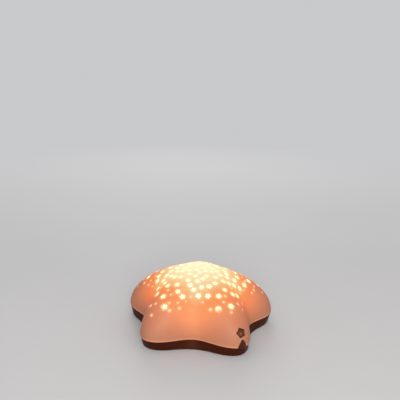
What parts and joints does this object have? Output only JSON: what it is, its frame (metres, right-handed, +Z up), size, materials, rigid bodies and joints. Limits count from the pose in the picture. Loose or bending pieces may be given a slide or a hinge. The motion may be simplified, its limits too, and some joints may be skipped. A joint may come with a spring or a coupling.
{
  "type": "star night light projector",
  "caption": "Five-armed star-shaped lamp: glowing cover with star windows over a shallow dark base, star push button on one arm, battery door underneath.",
  "frame": {"origin": "middle of the object's footprint on the surface it stands on", "axes": "+Z up; the arm with the push button points toward -Y; +X is the widest way across two side arms"},
  "size_m": [0.1662, 0.1595, 0.07],
  "materials": {
    "cover_plastic": "satin translucent white plastic, lit warm from inside",
    "liner_clear": "clear frosted plastic, lit from inside",
    "base_plastic": "fine grained",
    "button_plastic": "satin",
    "light_plastic": "plain moulded",
    "steel": "zinc plated",
    "nickel": "nickel plated",
    "board_green": "solder mask",
    "board_white": "white solder mask",
    "black_plastic": "moulded",
    "plunger_plastic": "moulded",
    "capacitor_can": "shrink sleeve",
    "led_resin": "clear resin, lit",
    "lens_clear": "clear",
    "cell_wrap": "plain printed sleeve",
    "brass_insert": "turned",
    "foot_rubber": "matt",
    "lead_red": "wire sleeve",
    "lead_black": "wire sleeve"
  },
  "bodies": {
    "housing": {"top_cover": "cover_plastic", "window_liner": "liner_clear", "base_tray": "base_plastic", "button_carrier": "light_plastic", "carrier_screws": "steel", "switch_board": "board_green", "tact_switch": "black_plastic", "main_board": "board_green", "board_screws": "steel", "control_chip": "black_plastic", "capacitors": "capacitor_can", "resistors": "black_plastic", "lamp_column": "light_plastic", "column_screws": "steel", "lamp_board": "board_white", "lamp_leds": "led_resin", "lamp_lens": "lens_clear", "battery_1": "cell_wrap", "battery_2": "cell_wrap", "battery_3": "cell_wrap", "contact_springs": "steel", "contact_plates": "nickel", "door_insert": "brass_insert", "case_screws": "steel", "foot_pads": "foot_rubber", "lamp_lead": "lead_red", "switch_lead": "lead_black", "battery_lead": "lead_black"},
    "button": {"star_button": "button_plastic"},
    "plunger": {"switch_plunger": "plunger_plastic"},
    "door": {"battery_door": "base_plastic"},
    "captive_screw": {"door_screw": "steel"}
  },
  "joints": [
    {"name": "button_press", "type": "slide", "parent": "housing", "child": "button", "axis": [0, 0.8988, -0.4384], "range_m": [0, 0.0008], "stiffness_N_per_m": 1200, "springref_m": -0.0003},
    {"name": "plunger_press", "type": "slide", "parent": "housing", "child": "plunger", "axis": [0, 0.8988, -0.4384], "range_m": [0, 0.0008]},
    {"name": "door_swing", "type": "hinge", "parent": "housing", "child": "door", "pos_m": [0, -0.02613, 0.0025], "axis": [-1, 0, 0], "range_deg": [0, 70]},
    {"name": "screw_turn", "type": "hinge", "parent": "door", "child": "captive_screw", "pos_m": [0, 0.04137, 0.0025], "axis": [0, 0, 1], "continuous": true}
  ],
  "couplings": [
    {"joint": "plunger_press", "follows": "button_press", "ratio": 1}
  ]
}
